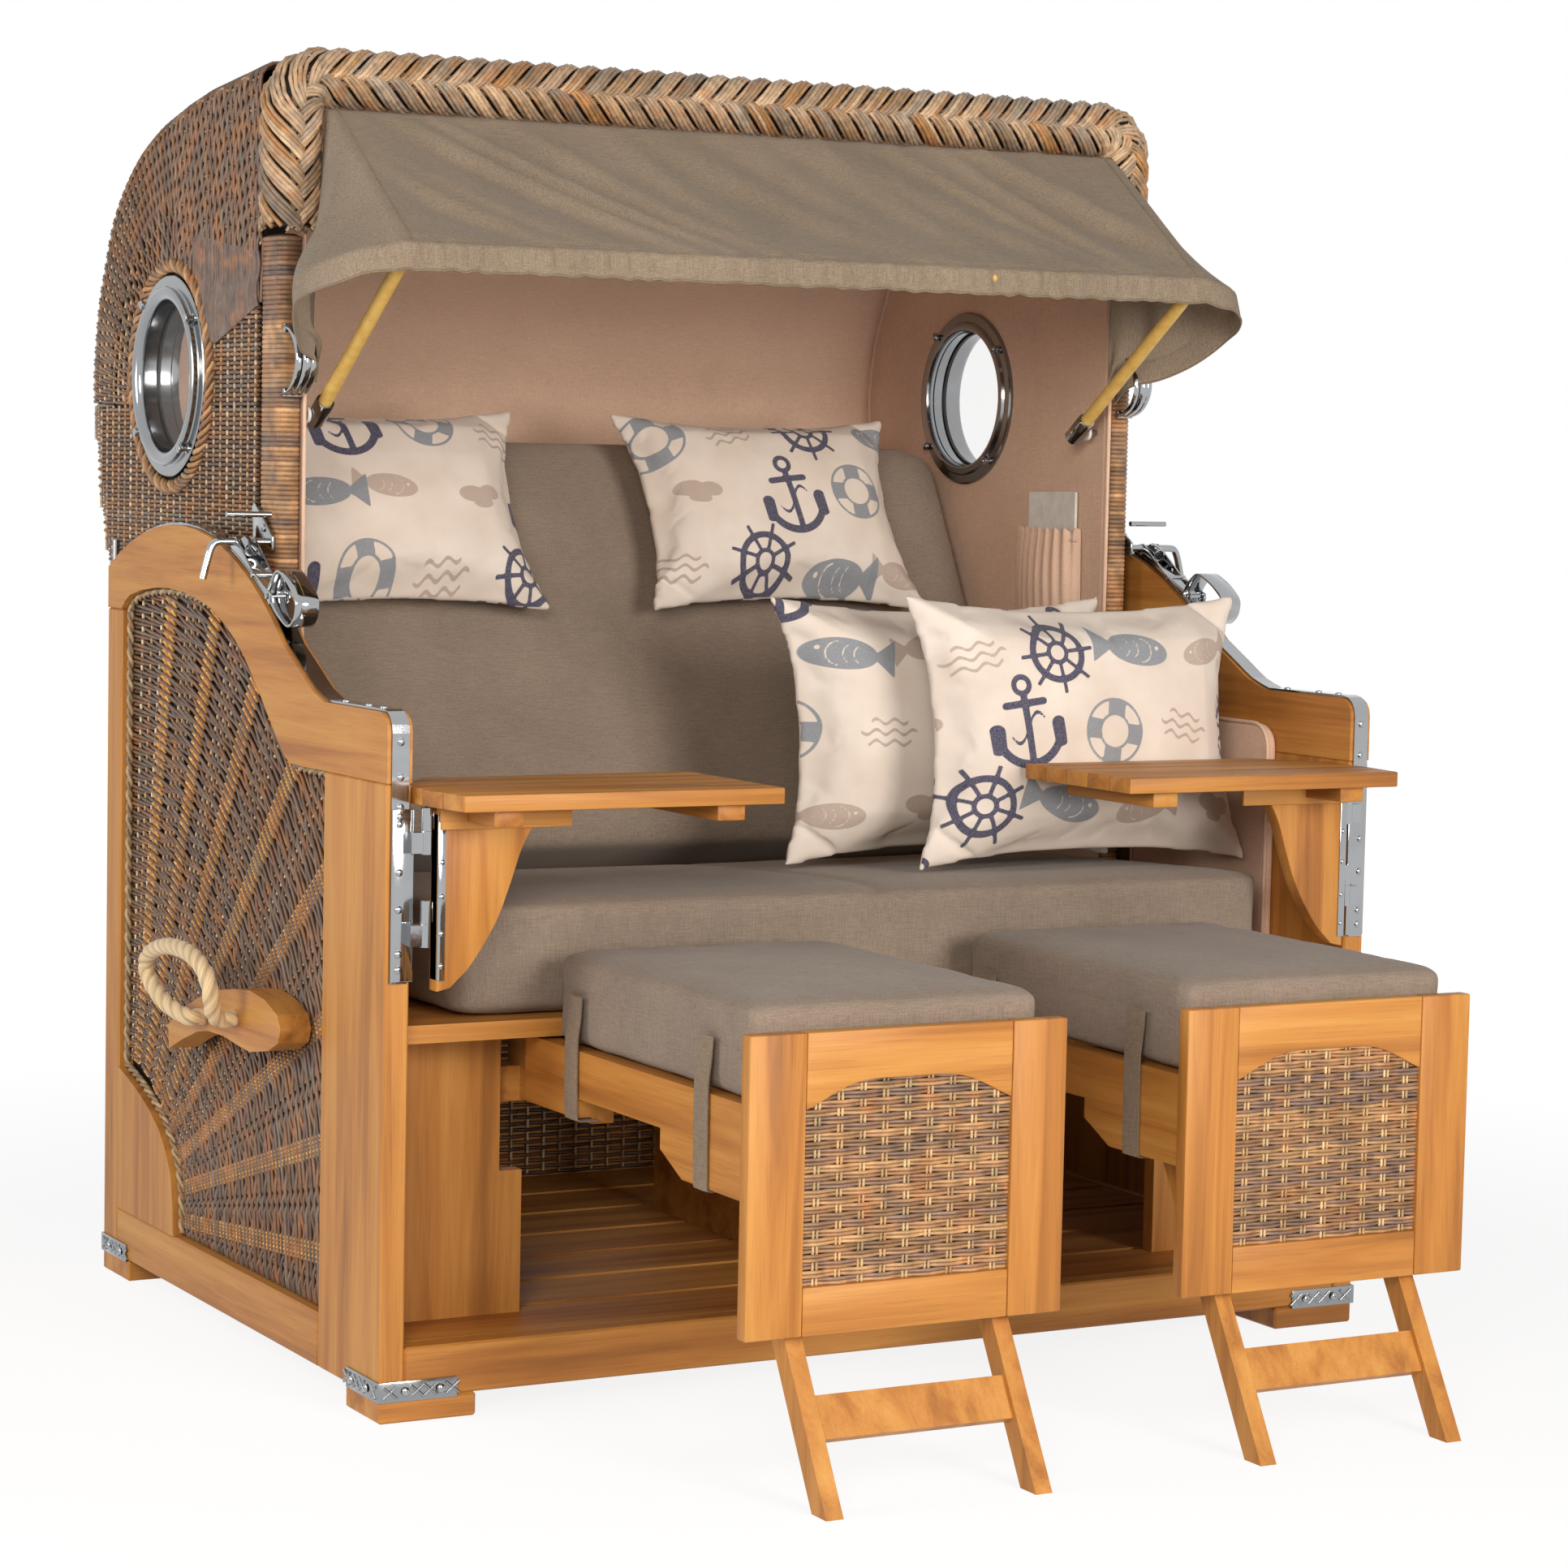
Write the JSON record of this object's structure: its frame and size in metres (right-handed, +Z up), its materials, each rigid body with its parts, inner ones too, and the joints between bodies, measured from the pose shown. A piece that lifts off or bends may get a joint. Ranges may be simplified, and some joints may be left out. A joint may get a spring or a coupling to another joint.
{
  "type": "hooded beach chair",
  "caption": "Hooded wicker and teak beach chair with tilting hood and backrest, pull-out footrests, swing-out tables and a folding sun canopy.",
  "frame": {"origin": "on the ground, in the middle of the object's length and width with both footrests pulled out", "axes": "+Z up; -Y to the front, where the footrests come out; +X to the right of somebody who stands in front and looks at the chair"},
  "size_m": [1.4702, 1.651, 1.5159],
  "materials": {
    "teak": "oiled",
    "woven_cane": "woven",
    "braided_rattan": "braided",
    "cushion_canvas": "canvas",
    "canopy_canvas": "canvas",
    "pillow_cotton": "printed",
    "side_pad_cotton": "matt",
    "chromed_steel": "polished",
    "polished_steel": "polished",
    "coated_tube": "satin",
    "hemp_rope": "laid"
  },
  "bodies": {
    "base": {"front_post_left": "teak", "front_post_right": "teak", "rear_post_left": "teak", "rear_post_right": "teak", "arm_board_left": "teak", "arm_board_right": "teak", "bottom_rail_left": "teak", "bottom_rail_right": "teak", "corner_fan_left": "teak", "corner_fan_right": "teak", "divider_left": "teak", "divider_right": "teak", "handle_block_left": "teak", "handle_block_right": "teak", "wicker_panel_left": "woven_cane", "wicker_panel_right": "woven_cane", "side_pad_left": "side_pad_cotton", "side_pad_right": "side_pad_cotton", "arm_strip_left": "chromed_steel", "arm_strip_right": "chromed_steel", "rope_loop_left": "hemp_rope", "rope_loop_right": "hemp_rope", "foot_front_left": "teak", "foot_front_right": "teak", "foot_rear_left": "teak", "foot_rear_right": "teak", "front_sill": "teak", "floor_deck": "teak", "rear_panel": "teak", "seat_board": "teak", "seat_cushion": "cushion_canvas", "throw_pillow_front": "pillow_cotton", "throw_pillow_rear": "pillow_cotton"},
    "hood": {"hood_basket": "woven_cane", "hood_braid": "braided_rattan", "hood_post_left": "woven_cane", "hood_post_right": "woven_cane", "porthole_left": "polished_steel", "porthole_right": "polished_steel", "backrest_cushion": "cushion_canvas", "neck_pillow_left": "pillow_cotton", "neck_pillow_right": "pillow_cotton", "bow_grip_left": "chromed_steel", "bow_grip_right": "chromed_steel", "canopy_cloth": "canopy_canvas", "clamp_left": "chromed_steel", "clamp_right": "chromed_steel"},
    "bow": {"canopy_bow": "coated_tube"},
    "lever_left": {"clamp_lever_left": "chromed_steel"},
    "footrest_left": {"footrest_panel_left": "teak", "footrest_drawer_left": "teak", "footrest_cushion_left": "cushion_canvas"},
    "legs_left": {"footrest_legs_left": "teak"},
    "table_left": {"side_table_left": "teak"},
    "lever_right": {"clamp_lever_right": "chromed_steel"},
    "footrest_right": {"footrest_panel_right": "teak", "footrest_drawer_right": "teak", "footrest_cushion_right": "cushion_canvas"},
    "legs_right": {"footrest_legs_right": "teak"},
    "table_right": {"side_table_right": "teak"}
  },
  "joints": [
    {"name": "hood_tilt", "type": "hinge", "parent": "base", "child": "hood", "pos_m": [0, 0.3565, 0.41], "axis": [-1, 0, 0], "range_deg": [0, 42]},
    {"name": "bow_fold", "type": "hinge", "parent": "hood", "child": "bow", "pos_m": [0, 0.1955, 1.09], "axis": [-1, 0, 0], "range_deg": [0, 75], "deforming": ["canopy_cloth"]},
    {"name": "clamp_lift_left", "type": "hinge", "parent": "hood", "child": "lever_left", "pos_m": [-0.6355, 0.06361, 0.88108], "axis": [-1, 0, 0], "range_deg": [0, 40]},
    {"name": "footrest_slide_left", "type": "slide", "parent": "base", "child": "footrest_left", "axis": [0, 1, 0], "range_m": [0, 0.434], "deforming": ["footrest_cushion_left"]},
    {"name": "leg_fold_left", "type": "hinge", "parent": "footrest_left", "child": "legs_left", "pos_m": [-0.2635, -0.62389, 0.328], "axis": [1, 0, 0], "range_deg": [0, 120]},
    {"name": "table_swing_left", "type": "hinge", "parent": "base", "child": "table_left", "pos_m": [-0.609, -0.3075, 0.6], "axis": [0, 0, -1], "range_deg": [0, 90]},
    {"name": "clamp_lift_right", "type": "hinge", "parent": "hood", "child": "lever_right", "pos_m": [0.6355, 0.06361, 0.88108], "axis": [-1, 0, 0], "range_deg": [0, 40]},
    {"name": "footrest_slide_right", "type": "slide", "parent": "base", "child": "footrest_right", "axis": [0, 1, 0], "range_m": [0, 0.434], "deforming": ["footrest_cushion_right"]},
    {"name": "leg_fold_right", "type": "hinge", "parent": "footrest_right", "child": "legs_right", "pos_m": [0.2635, -0.62389, 0.328], "axis": [1, 0, 0], "range_deg": [0, 120]},
    {"name": "table_swing_right", "type": "hinge", "parent": "base", "child": "table_right", "pos_m": [0.609, -0.3075, 0.6], "axis": [0, 0, 1], "range_deg": [0, 90]}
  ]
}
